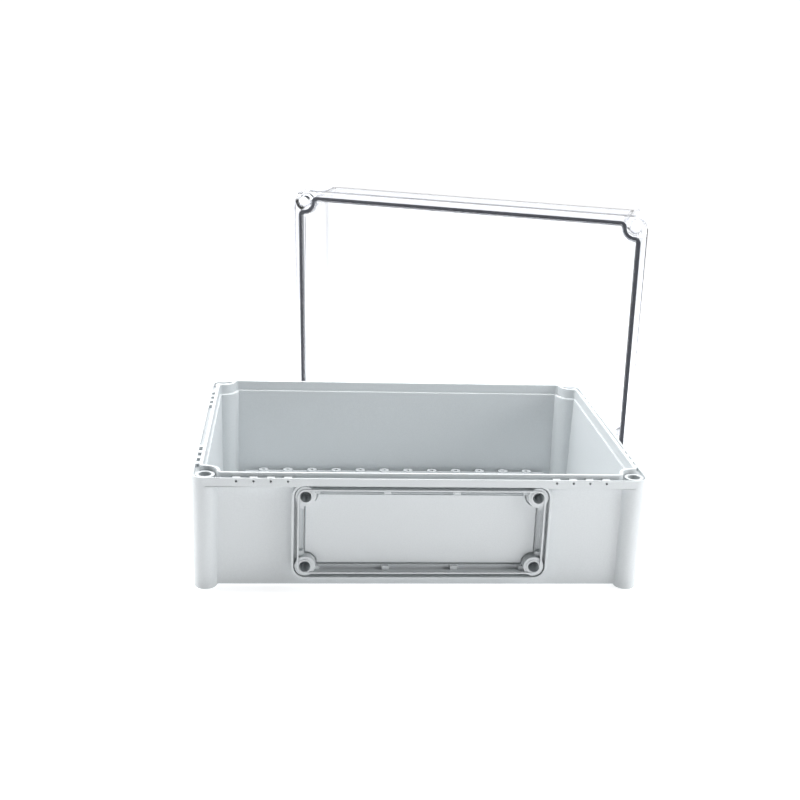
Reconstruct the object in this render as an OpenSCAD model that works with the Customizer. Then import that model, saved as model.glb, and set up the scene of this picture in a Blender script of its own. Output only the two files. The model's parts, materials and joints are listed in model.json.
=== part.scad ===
// Polycarbonate enclosure: opaque grey base, loose clear cover with its seal,
// four captive cover screws and a front flange plate that can be knocked out.
// Millimetres, +Z up, origin on the floor under the middle of the base,
// the flange side facing -Y.

/* [Enclosure] */
// Outside length of the rim
length = 380; // [340:5:460]
// Outside depth of the rim
width = 280; // [240:5:340]
// Base height, feet to sealing lip
base_h = 100; // [90:1:150]
// Cover height, sealing lip to outer face
cover_h = 80; // [50:1:120]
// Wall thickness of both mouldings
wall = 3.2; // [2.5:0.1:4]

/* [Rim and seal] */
// Height of the rim band on the base
band_h = 7.5; // [6:0.5:9]
// How far the walls stand back from the rim face
recess = 7; // [6.5:0.1:7.5]
// Draft of the walls, over the full height
wall_draft = 1.5; // [0:0.1:2]
// Distance of the seal line from the rim face
seal_inset = 7; // [6.5:0.1:7.5]
// Radius of the seal line round each corner screw
wrap_r = 11; // [10.6:0.1:11.2]
// Width of the sealing tongue on the base
tongue_w = 3; // [2:0.1:3.4]
// Height of the tongue above the lip
tongue_h = 3; // [2:0.1:3.5]
// Width of the seal strip in the cover
seal_w = 3.8; // [3:0.1:4]

/* [Corners] */
// Corner column radius at the rim, the screw axes lie on the column axes
col_r = 11.25; // [11:0.05:11.6]
// Radius of the posts inside the base corners
post_r = 15.5; // [14.5:0.1:16]
// Draft of the corner columns, degrees
col_draft = 0.9; // [0:0.1:1.2]
// Screw bore in the base corners, diameter
screw_bore = 10.6; // [9:0.1:11]
// Wall fixing hole in the base corners, diameter
fix_bore = 6.6; // [4:0.1:8]

/* [Front flange] */
// Hole distance of the flange pattern, along the length
flange_x = 193; // [150:1:220]
// Hole distance of the flange pattern, upwards
flange_z = 62; // [50:0.2:63]
// Height of the flange centre above the feet
flange_mid = 53; // [52:0.1:54]
// Flange screw hole diameter
flange_bore = 9.3; // [6:0.1:10]

/* [Floor bosses] */
// Bosses in each row
row_n = 12; // [4:1:12]
// Boss pitch
row_pitch = 25; // [20:1:26]
// Distance of each row from the middle
row_y = 122; // [100:1:122]

/* [Cover stand] */
// Turn of the standing cover about the upright, degrees
stand_turn = -21; // [-25:1:0]
// Forward lean of the standing cover, degrees
stand_lean = 4.5; // [0:0.5:6]
// Place of the middle of its lower edge, along X
stand_x = 74.7; // [40:0.1:100]
// Place of the middle of its lower edge, along Y
stand_y = 219; // [215:1:260]

/* [Hidden] */
$fn = 96;
hl = length / 2;
hw = width / 2;
boss_inset = col_r;
fil = boss_inset - seal_inset;          // fillet of the seal line
reach = boss_inset + wrap_r + fil;      // where the seal line is straight again
lip = 2;                                // outer lip of the rim
channel = 3;                            // depth of the rim channel
floor_z = 1.5;                          // underside of the floor plate
floor_t = 3;                            // floor plate thickness
ledge_z = base_h - 6.5;                 // ledge below the tongue
foot_r = col_r - (base_h - band_h) * tan(col_draft);
end_r = col_r - (cover_h - 8) * tan(col_draft);
plate_z = cover_h - 2.5;                // outer face of the cover plate
grey = [0.80, 0.82, 0.83];
clear = [0.86, 0.90, 0.97, 0.35];
black = [0.08, 0.09, 0.10];
milky = [0.93, 0.93, 0.92];
marks = [-153, -139, -125, -111, 111, 125, 139, 153];
marks_s = [-103, -89, -75, -61, 61, 75, 89, 103];

// ---- plane outlines ----
module rrect(l, w, r) {
    square([l - 2 * r, w], center = true);
    square([l, w - 2 * r], center = true);
    for (x = [-1, 1], y = [-1, 1])
        translate([x * (l / 2 - r), y * (w / 2 - r)]) circle(r);
}
// area inside the seal line, moved inward by d
module inside_seal(d) {
    square([length - 2 * reach, width - 2 * (seal_inset + d)], center = true);
    square([length - 2 * (seal_inset + d), width - 2 * reach], center = true);
    for (x = [-1, 1], y = [-1, 1]) {
        difference() {
            translate([x * (hl - (boss_inset + reach + 1) / 2), y * (hw - (boss_inset + reach + 1) / 2)])
                square(reach + 1 - boss_inset, center = true);
            translate([x * (hl - boss_inset), y * (hw - boss_inset)]) circle(wrap_r + d);
        }
        translate([x * (hl - reach), y * (hw - boss_inset)]) circle(fil - d);
        translate([x * (hl - boss_inset), y * (hw - reach)]) circle(fil - d);
    }
}
// drafted box: plan inset a at z = z1 and b at z = z0, with the edge at z0 rounded by r
function side(h, a, b, z0, z1, r) = concat(
    [for (k = [0 : 3]) [h - b - r + r * sin(k * 30), z0 + r - r * cos(k * 30)]],
    [[h - a, z1]]);
module drafted(a, b, z0, z1, r) {
    intersection() {
        translate([0, hw, 0]) rotate([90, 0, 0]) linear_extrude(width)
            polygon(concat(side(hl, a, b, z0, z1, r),
                [for (k = [4 : -1 : 0]) let (p = side(hl, a, b, z0, z1, r)[k]) [-p[0], p[1]]]));
        translate([-hl, 0, 0]) rotate([90, 0, 90]) linear_extrude(length)
            polygon(concat(side(hw, a, b, z0, z1, r),
                [for (k = [4 : -1 : 0]) let (p = side(hw, a, b, z0, z1, r)[k]) [-p[0], p[1]]]));
    }
}
module at_bosses() {
    for (x = [-1, 1], y = [-1, 1]) translate([x * (hl - boss_inset), y * (hw - boss_inset), 0]) children();
}
module at_columns() {
    for (x = [-1, 1], y = [-1, 1]) translate([x * (hl - col_r), y * (hw - col_r), 0]) children();
}
// front elevation to the base front: (x, z) plane, growing towards -Y
module on_front(y_face, t) {
    translate([0, y_face + t, 0]) rotate([90, 0, 0]) linear_extrude(t) children();
}
module at_flange_bosses() {
    for (x = [-1, 1], z = [-1, 1])
        translate([x * flange_x / 2, flange_mid + z * flange_z / 2]) children();
}
module flange_rect(grow, r) {
    translate([0, flange_mid]) rrect(flange_x + 2 * grow, flange_z + 2 * grow, r);
}
module panel_outline(g) {
    difference() {
        translate([0, flange_mid]) square([flange_x + 2 - 2 * g, flange_z + 1.2 - 2 * g], center = true);
        at_flange_bosses() circle(9.3 + g);
    }
}

// ---- base ----
module base_solid() {
    drafted(recess, recess + wall_draft, floor_z, base_h - channel, 2.5);
    translate([0, 0, base_h - band_h]) linear_extrude(band_h) rrect(length, width, col_r);
    at_columns() {
        cylinder(h = 1.2, r1 = foot_r - 1.2, r2 = foot_r);
        translate([0, 0, 1.2]) cylinder(h = base_h - band_h - 1.2, r1 = foot_r, r2 = col_r);
        translate([0, 0, base_h - band_h - 1]) cylinder(h = 2, r = col_r - 1.5);
    }
    // sealing tongue
    translate([0, 0, base_h - channel - 1]) linear_extrude(channel + 1 + tongue_h) inside_seal(-tongue_w / 2);
    // flange collar, level with the rim
    on_front(-hw, recess + 2) flange_rect(11.4, 11.4);
}
module base_cuts() {
    // cavity under the ledge with the corner posts left standing
    difference() {
        drafted(recess + wall, recess + wall + wall_draft, floor_z + floor_t, ledge_z, 1.5);
        at_bosses() cylinder(h = base_h, r1 = post_r - 0.6, r2 = post_r);
    }
    // inside of the tongue
    translate([0, 0, ledge_z - 0.01]) linear_extrude(base_h) inside_seal(tongue_w / 2);
    // channel between lip and tongue
    difference() {
        translate([0, 0, base_h - channel]) linear_extrude(channel + 1) rrect(length - 2 * lip, width - 2 * lip, col_r - lip);
        translate([0, 0, base_h - channel - 1]) linear_extrude(channel + 3) inside_seal(-tongue_w / 2);
    }
    // inside of the collar, down to the wall
    on_front(-hw - 1, recess + 1.9) flange_rect(4.9, 4.9);
    // seal groove of the collar
    on_front(-hw - 1, 7.4) difference() { flange_rect(9.4, 9.4); flange_rect(6.6, 6.6); }
    // pocket of the knock-out plate
    on_front(-hw + recess, 3.1) panel_outline(0);
}
module base_adds() {
    // screw bosses inside the channel
    at_bosses() translate([0, 0, base_h - channel - 1]) cylinder(h = channel + 0.5, r = 8.1);
    // pads behind the drill marks
    for (m = marks, y = [-1, 1])
        translate([m - 3.2, y > 0 ? hw - seal_inset + tongue_w / 2 - 0.5 : -hw + lip - 0.5, base_h - channel - 1])
            cube([6.4, seal_inset - tongue_w / 2 - lip + 1, channel + 1]);
    for (m = marks_s, x = [-1, 1])
        translate([x > 0 ? hl - seal_inset + tongue_w / 2 - 0.5 : -hl + lip - 0.5, m - 3.2, base_h - channel - 1])
            cube([seal_inset - tongue_w / 2 - lip + 1, 6.4, channel + 1]);
    // flange screw bosses
    on_front(-hw + 0.9, recess + 1) at_flange_bosses() circle(8.6);
    on_front(-hw + 0.3, 2) at_flange_bosses() circle(6.2);
    on_front(-hw + recess + 1, 12) at_flange_bosses() circle(7.4);
    // raised edge round the pocket, and the short ribs beside it
    on_front(-hw + recess - 0.3, 2) difference() {
        intersection() { panel_outline(-0.9); flange_rect(4.9, 4.9); }
        panel_outline(0);
    }
    on_front(-hw + recess - 2.6, 4.2) {
        for (x = [-29, 29], z = [-1, 1])
            translate([x, flange_mid + z * (flange_z / 2 + 3.2)]) square([6, 4], center = true);
        for (x = [-86.4, 86.4], z = [-1, 1])
            translate([x, flange_mid + z * (flange_z / 2 + 3.2)]) square([4, 4], center = true);
        for (x = [-1, 1], z = [-21, 21])
            translate([x * (flange_x / 2 + 3.3), flange_mid + z]) square([3.6, 4.4], center = true);
    }
    // boss rows on the floor
    for (y = [-row_y, row_y]) {
        for (i = [0 : row_n - 1])
            translate([(i - (row_n - 1) / 2) * row_pitch, y, floor_z + 1]) cylinder(h = 9, r = 5);
        translate([-156, y - 1, floor_z + 1]) cube([312, 2, 7.6]);
    }
}
module base_holes() {
    at_bosses() {
        translate([0, 0, 12]) cylinder(h = base_h, r = screw_bore / 2);
        translate([0, 0, -1]) cylinder(h = base_h, r = fix_bore / 2);
    }
    // flange screw holes, blind
    on_front(-hw - 1, 17) at_flange_bosses() circle(flange_bore / 2);
    // drill marks for hinges, small blind pits
    for (m = marks) {
        translate([m, -hw - 0.01, base_h - 2.6]) rotate([-90, 0, 0]) cylinder(h = 4, r1 = 1, r2 = 0.6);
        translate([m, hw + 0.01, base_h - 2.6]) rotate([90, 0, 0]) cylinder(h = 4, r1 = 1, r2 = 0.6);
    }
    for (m = marks_s) {
        translate([-hl - 0.01, m, base_h - 2.6]) rotate([0, 90, 0]) cylinder(h = 4, r1 = 1, r2 = 0.6);
        translate([hl + 0.01, m, base_h - 2.6]) rotate([0, -90, 0]) cylinder(h = 4, r1 = 1, r2 = 0.6);
    }
    // boss row holes
    for (y = [-row_y, row_y], i = [0 : row_n - 1])
        translate([(i - (row_n - 1) / 2) * row_pitch, y, floor_z + 4]) cylinder(h = 10, r = 1.6, $fn = 32);
}
module base_shell() {
    color(grey) difference() {
        union() {
            difference() { base_solid(); base_cuts(); }
            base_adds();
        }
        base_holes();
    }
}
module flange_knockout_panel() {
    color([0.76, 0.78, 0.79]) on_front(-hw + recess + 0.9, 2.2) panel_outline(1);
}

// ---- cover, drawn lying closed with its sealing face on z = 0 ----
module cover_stand() {
    translate([stand_x, stand_y, 0]) rotate([0, 0, stand_turn]) rotate([-(90 - stand_lean), 0, 0])
        translate([0, -hw, 0]) children();
}
module cover_column() {
    rotate_extrude() polygon(concat([[0, 6], [col_r - 1.5, 6], [col_r - 1.5, 8], [col_r, 8]],
        [for (k = [0 : 4]) [end_r - 3 + 3 * cos(k * 22.5), cover_h - 3 + 3 * sin(k * 22.5)]],
        [[0, cover_h]]));
}
module cover_closed() {
    difference() {
        union() {
            linear_extrude(8) rrect(length, width, col_r);
            translate([0, 0, plate_z]) mirror([0, 0, 1]) drafted(recess, recess + wall_draft, 0, plate_z - 7, 3);
            at_columns() cover_column();
        }
        // cavity behind the seal groove with the corner posts left standing
        difference() {
            translate([0, 0, plate_z - 3]) mirror([0, 0, 1])
                drafted(recess + wall - 0.2, recess + wall - 0.2 + wall_draft, 0, plate_z - 3 - 7.9, 2);
            at_bosses() cylinder(h = cover_h, r1 = wrap_r + 3, r2 = wrap_r + 2);
        }
        translate([0, 0, -1]) linear_extrude(9) inside_seal(3);
        // seal groove
        translate([0, 0, -1]) linear_extrude(6.5) difference() { inside_seal(-2); inside_seal(2); }
        // captive screw bores and the wells above them
        at_bosses() {
            translate([0, 0, -1]) cylinder(h = 16, r = 5.4);
            cylinder(h = cover_h, r = 3.7);
            translate([0, 0, 19]) cylinder(h = cover_h, r = 6.6);
        }
    }
}
module cover_shell() {
    color(clear) cover_stand() cover_closed();
}
module cover_seal() {
    color(black) cover_stand() translate([0, 0, 2]) linear_extrude(3.5) difference() {
        inside_seal(-seal_w / 2);
        inside_seal(seal_w / 2);
    }
}
module screw_closed() {
    difference() {
        rotate_extrude() polygon(concat(
            [[0, 0.6], [4.2, 0.6], [4.9, 1.4]],
            [for (k = [0 : 4], p = [[4.9, 0], [4.9, 0.9], [4.3, 1.4], [4.3, 1.9], [4.9, 2.4]]) [p[0], 1.8 + k * 2.5 + p[1]]],
            [[4.3, 14.4], [3.3, 14.9], [3.3, 28.4], [3.9, 29], [5.6, 29], [6, 29.4], [6, 37.2], [5.2, 38], [0, 38]]));
        // cross slot in the head
        for (a = [0, 90]) rotate([0, 0, a]) translate([-4.4, -0.7, 34.5]) cube([8.8, 1.4, 5]);
    }
}
module cover_screw(x, y) {
    color(milky) cover_stand() translate([x * (hl - boss_inset), y * (hw - boss_inset), 0]) screw_closed();
}
module cover_screw_upper_left() { cover_screw(-1, -1); }
module cover_screw_upper_right() { cover_screw(1, -1); }
module cover_screw_lower_left() { cover_screw(-1, 1); }
module cover_screw_lower_right() { cover_screw(1, 1); }

base_shell();
flange_knockout_panel();
cover_shell();
cover_seal();
cover_screw_upper_left();
cover_screw_upper_right();
cover_screw_lower_left();
cover_screw_lower_right();
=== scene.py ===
import json
import math

import bmesh
import bpy
from mathutils import Matrix, Vector


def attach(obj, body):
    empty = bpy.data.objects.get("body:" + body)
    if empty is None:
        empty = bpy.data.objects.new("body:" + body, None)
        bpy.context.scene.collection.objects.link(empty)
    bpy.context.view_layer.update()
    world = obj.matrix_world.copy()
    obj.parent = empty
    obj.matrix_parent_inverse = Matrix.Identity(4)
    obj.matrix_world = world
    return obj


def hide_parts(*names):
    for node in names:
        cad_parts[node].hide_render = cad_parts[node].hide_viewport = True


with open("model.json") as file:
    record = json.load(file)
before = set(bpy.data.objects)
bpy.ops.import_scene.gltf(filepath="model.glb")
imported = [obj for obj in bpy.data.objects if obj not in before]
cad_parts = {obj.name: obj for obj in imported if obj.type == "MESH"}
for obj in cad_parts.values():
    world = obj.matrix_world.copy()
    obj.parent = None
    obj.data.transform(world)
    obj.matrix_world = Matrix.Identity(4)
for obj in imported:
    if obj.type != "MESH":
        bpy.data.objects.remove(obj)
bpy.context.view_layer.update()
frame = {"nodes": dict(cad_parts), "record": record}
nodes = frame["nodes"]
scene = bpy.context.scene


# ---------------------------------------------------------------- camera
def make_camera():
    yaw, pitch, roll = (math.radians(a) for a in (5.12, 16.97, -2.25))
    fwd = Vector((math.sin(yaw) * math.cos(pitch), math.cos(yaw) * math.cos(pitch), -math.sin(pitch)))
    side = Vector((math.cos(yaw), -math.sin(yaw), 0.0))
    down = fwd.cross(side)
    right = math.cos(roll) * side + math.sin(roll) * down
    down = -math.sin(roll) * side + math.cos(roll) * down
    m = Matrix((
        (right.x, -down.x, -fwd.x, -0.1070),
        (right.y, -down.y, -fwd.y, -1.0849),
        (right.z, -down.z, -fwd.z, 0.4576),
        (0, 0, 0, 1),
    ))
    data = bpy.data.cameras.new("camera")
    data.lens = 55.62
    data.sensor_width = 36.0
    data.clip_start = 0.05
    data.clip_end = 60.0
    cam = bpy.data.objects.new("camera", data)
    scene.collection.objects.link(cam)
    cam.matrix_world = m
    scene.camera = cam


make_camera()


# ---------------------------------------------------------------- material helpers
class Tree:
    def __init__(self, name):
        self.mat = bpy.data.materials.new(name)
        self.mat.use_nodes = True
        self.nt = self.mat.node_tree
        self.nt.nodes.clear()
        self.out = self.add("ShaderNodeOutputMaterial")

    def add(self, kind, **kw):
        n = self.nt.nodes.new(kind)
        for k, v in kw.items():
            setattr(n, k, v)
        return n

    def link(self, a, b):
        self.nt.links.new(a, b)

    def coords(self, scale=(1, 1, 1)):
        tc = self.add("ShaderNodeTexCoord")
        mp = self.add("ShaderNodeMapping")
        mp.inputs["Scale"].default_value = scale
        self.link(tc.outputs["Object"], mp.inputs["Vector"])
        return mp.outputs["Vector"]

    def noise(self, vec, scale, detail=2.0, rough=0.5, dist=0.0):
        n = self.add("ShaderNodeTexNoise")
        n.inputs["Scale"].default_value = scale
        n.inputs["Detail"].default_value = detail
        n.inputs["Roughness"].default_value = rough
        n.inputs["Distortion"].default_value = dist
        self.link(vec, n.inputs["Vector"])
        return n.outputs["Fac"]

    def span(self, fac, lo, hi, a=0.0, b=1.0):
        n = self.add("ShaderNodeMapRange")
        n.inputs["From Min"].default_value = a
        n.inputs["From Max"].default_value = b
        n.inputs["To Min"].default_value = lo
        n.inputs["To Max"].default_value = hi
        self.link(fac, n.inputs["Value"])
        return n.outputs["Result"]

    def blend(self, fac, c1, c2):
        n = self.add("ShaderNodeMix", data_type="RGBA")
        self.link(fac, n.inputs[0])
        for sock, c in ((n.inputs[6], c1), (n.inputs[7], c2)):
            if isinstance(c, tuple):
                sock.default_value = (*c, 1.0)
            else:
                self.link(c, sock)
        return n.outputs[2]

    def bump(self, height, strength, distance, normal=None):
        n = self.add("ShaderNodeBump")
        n.inputs["Strength"].default_value = strength
        n.inputs["Distance"].default_value = distance
        self.link(height, n.inputs["Height"])
        if normal is not None:
            self.link(normal, n.inputs["Normal"])
        return n.outputs["Normal"]


def base_plastic():
    t = Tree("base_plastic")
    v = t.coords()
    p = t.add("ShaderNodeBsdfPrincipled")
    cloud = t.noise(v, 14.0, 3.0, 0.55)
    fine = t.noise(v, 900.0, 2.0, 0.6)
    grain = t.noise(v, 3200.0, 1.0, 0.5)
    col = t.blend(cloud, (0.560, 0.590, 0.605), (0.600, 0.628, 0.640))
    col2 = t.blend(t.span(fine, 0.0, 1.0, 0.35, 0.65), (0.555, 0.583, 0.598), col)
    t.link(col2, p.inputs["Base Color"])
    t.link(t.span(cloud, 0.36, 0.46), p.inputs["Roughness"])
    p.inputs["IOR"].default_value = 1.55
    n1 = t.bump(fine, 0.10, 0.0002)
    n2 = t.bump(grain, 0.12, 0.00008, n1)
    t.link(n2, p.inputs["Normal"])
    t.link(p.outputs["BSDF"], t.out.inputs["Surface"])
    return t.mat


def clear_plastic():
    t = Tree("clear_plastic")
    v = t.coords()
    g = t.add("ShaderNodeBsdfPrincipled")
    g.inputs["Base Color"].default_value = (0.955, 0.968, 1.0, 1.0)
    g.inputs["Transmission Weight"].default_value = 1.0
    g.inputs["IOR"].default_value = 1.58
    haze = t.noise(v, 30.0, 3.0, 0.6)
    t.link(t.span(haze, 0.01, 0.05), g.inputs["Roughness"])
    wave = t.noise(v, 9.0, 1.0, 0.4)
    n1 = t.bump(wave, 0.25, 0.0006)
    t.link(n1, g.inputs["Normal"])
    clear = t.add("ShaderNodeBsdfTransparent")
    clear.inputs["Color"].default_value = (0.93, 0.95, 0.98, 1.0)
    lp = t.add("ShaderNodeLightPath")
    mix = t.add("ShaderNodeMixShader")
    t.link(lp.outputs["Is Shadow Ray"], mix.inputs[0])
    t.link(g.outputs["BSDF"], mix.inputs[1])
    t.link(clear.outputs["BSDF"], mix.inputs[2])
    t.link(mix.outputs["Shader"], t.out.inputs["Surface"])
    return t.mat


def seal_rubber():
    t = Tree("seal_rubber")
    v = t.coords()
    p = t.add("ShaderNodeBsdfPrincipled")
    cell = t.noise(v, 1400.0, 3.0, 0.65)
    slow = t.noise(v, 40.0, 2.0, 0.5)
    t.link(t.blend(slow, (0.020, 0.022, 0.028), (0.034, 0.036, 0.046)), p.inputs["Base Color"])
    t.link(t.span(cell, 0.55, 0.8), p.inputs["Roughness"])
    p.inputs["Sheen Weight"].default_value = 0.15
    t.link(t.bump(cell, 0.5, 0.0002), p.inputs["Normal"])
    t.link(p.outputs["BSDF"], t.out.inputs["Surface"])
    return t.mat


def screw_plastic():
    t = Tree("screw_plastic")
    v = t.coords()
    p = t.add("ShaderNodeBsdfPrincipled")
    cloud = t.noise(v, 120.0, 3.0, 0.55)
    t.link(t.blend(cloud, (0.76, 0.77, 0.80), (0.84, 0.85, 0.87)), p.inputs["Base Color"])
    t.link(t.span(cloud, 0.3, 0.42), p.inputs["Roughness"])
    p.inputs["Subsurface Weight"].default_value = 0.35
    p.inputs["Subsurface Radius"].default_value = (0.002, 0.002, 0.0022)
    p.inputs["IOR"].default_value = 1.5
    t.link(t.bump(t.noise(v, 2200.0, 2.0, 0.5), 0.1, 0.0001), p.inputs["Normal"])
    t.link(p.outputs["BSDF"], t.out.inputs["Surface"])
    return t.mat


MATS = {
    "base_plastic": base_plastic(),
    "clear_plastic": clear_plastic(),
    "seal_rubber": seal_rubber(),
    "screw_plastic": screw_plastic(),
}
for sp in frame["record"]["subparts"]:
    o = nodes[sp["node"]]
    o.data.materials.clear()
    o.data.materials.append(MATS[sp["material_slot"]])


# ---------------------------------------------------------------- moulded edges
def soften(node, slot_name, width, segs=2, angle=28.0, keep=None):
    """A copy of a CAD node with its sharp edges rounded, shown in the node's place."""
    src = nodes[node]
    me = bpy.data.meshes.new(node + "_moulded")
    bm = bmesh.new()
    bm.from_mesh(src.data)
    bmesh.ops.remove_doubles(bm, verts=bm.verts, dist=2e-6)
    bmesh.ops.dissolve_limit(bm, angle_limit=math.radians(0.4), verts=bm.verts, edges=bm.edges)
    bmesh.ops.triangulate(bm, faces=[f for f in bm.faces if len(f.verts) > 4],
                          quad_method="BEAUTY", ngon_method="BEAUTY")
    weight = bm.edges.layers.float.new("bevel_weight_edge")
    for e in bm.edges:
        if e.calc_face_angle(0.0) > math.radians(angle):
            if keep and keep((e.verts[0].co + e.verts[1].co) / 2):
                e.smooth = False
            else:
                e[weight] = 1.0
    for f in bm.faces:
        f.smooth = True
        f.material_index = 0
    bm.to_mesh(me)
    bm.free()
    old = me.attributes.get("custom_normal")
    if old:
        me.attributes.remove(old)
    o = bpy.data.objects.new(node + "_moulded", me)
    scene.collection.objects.link(o)
    me.materials.append(MATS[slot_name])
    bev = o.modifiers.new("edge", "BEVEL")
    bev.limit_method = "WEIGHT"
    bev.width = width
    bev.segments = segs
    bev.use_clamp_overlap = False
    bev.harden_normals = True
    wn = o.modifiers.new("shade", "WEIGHTED_NORMAL")
    wn.mode = "FACE_AREA"
    wn.keep_sharp = True
    body = next(b for b, ns in frame["record"]["behaviour"]["bodies"].items() if node in ns)
    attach(o, body)
    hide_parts(node)
    return o


def in_pit(c):
    """Inside one of the small drill pits of the rim, which stay crisp."""
    if abs(c.z - 0.0974) > 0.0013:
        return False
    if abs(c.y) > 0.1355:
        return any(abs(abs(c.x) - m) < 0.0013 for m in (0.111, 0.125, 0.139, 0.153))
    if abs(c.x) > 0.1855:
        return any(abs(abs(c.y) - m) < 0.0013 for m in (0.061, 0.075, 0.089, 0.103))
    return False


soften("base_shell", "base_plastic", 0.00035, keep=in_pit)
soften("cover_shell", "clear_plastic", 0.0005)
soften("flange_knockout_panel", "base_plastic", 0.0003)


# ---------------------------------------------------------------- stage and light
def stage():
    t = Tree("floor_white")
    p = t.add("ShaderNodeBsdfPrincipled")
    v = t.coords()
    t.link(t.blend(t.noise(v, 2.0, 2.0), (0.86, 0.86, 0.865), (0.88, 0.88, 0.885)), p.inputs["Base Color"])
    p.inputs["Roughness"].default_value = 0.9
    p.inputs["Specular IOR Level"].default_value = 0.1
    p.inputs["Emission Color"].default_value = (1.0, 1.0, 1.0, 1.0)
    p.inputs["Emission Strength"].default_value = 0.62
    t.link(p.outputs["BSDF"], t.out.inputs["Surface"])
    me = bpy.data.meshes.new("floor_plane")
    bm = bmesh.new()
    bm.faces.new([bm.verts.new(c) for c in ((-40, -20, 0), (40, -20, 0), (40, 58, 0), (-40, 58, 0))])
    bm.to_mesh(me)
    bm.free()
    o = bpy.data.objects.new("floor_plane", me)
    scene.collection.objects.link(o)
    me.materials.append(t.mat)


def area(name, pos, target, size, power, size_y=None, color=(1, 1, 1)):
    d = bpy.data.lights.new(name, "AREA")
    d.energy = power
    d.color = color
    d.shape = "RECTANGLE"
    d.size = size
    d.size_y = size_y or size
    o = bpy.data.objects.new(name, d)
    scene.collection.objects.link(o)
    z = (Vector(pos) - Vector(target)).normalized()
    o.matrix_world = Matrix.Translation(pos) @ z.to_track_quat("Z", "Y").to_matrix().to_4x4()
    o.visible_camera = False
    return o


def lights():
    # bright all round behind the box, dim on the side of the camera
    w = bpy.data.worlds.new("studio")
    scene.world = w
    w.use_nodes = True
    nt = w.node_tree
    nt.nodes.clear()
    out = nt.nodes.new("ShaderNodeOutputWorld")
    bg = nt.nodes.new("ShaderNodeBackground")
    tc = nt.nodes.new("ShaderNodeTexCoord")
    sep = nt.nodes.new("ShaderNodeSeparateXYZ")
    mr = nt.nodes.new("ShaderNodeMapRange")
    mr.interpolation_type = "SMOOTHSTEP"
    nt.links.new(tc.outputs["Generated"], sep.inputs[0])
    nt.links.new(sep.outputs["Y"], mr.inputs["Value"])
    mr.inputs["From Min"].default_value = -0.25
    mr.inputs["From Max"].default_value = 0.55
    mr.inputs["To Min"].default_value = 0.10
    mr.inputs["To Max"].default_value = 1.08
    bg.inputs[0].default_value = (0.985, 0.99, 1.0, 1)
    nt.links.new(mr.outputs["Result"], bg.inputs[1])
    nt.links.new(bg.outputs[0], out.inputs[0])
    area("top_soft", (0.0, 0.12, 0.75), (0.0, 0.06, 0.0), 0.9, 9.0, 0.5)
    area("right_soft", (0.85, -0.40, 0.30), (0.10, -0.13, 0.05), 0.45, 4.5)
    area("left_rim", (-0.95, 0.15, 0.35), (-0.19, -0.10, 0.05), 0.5, 5.0)


stage()
lights()
scene.view_settings.view_transform = "Standard"
scene.view_settings.look = "None"
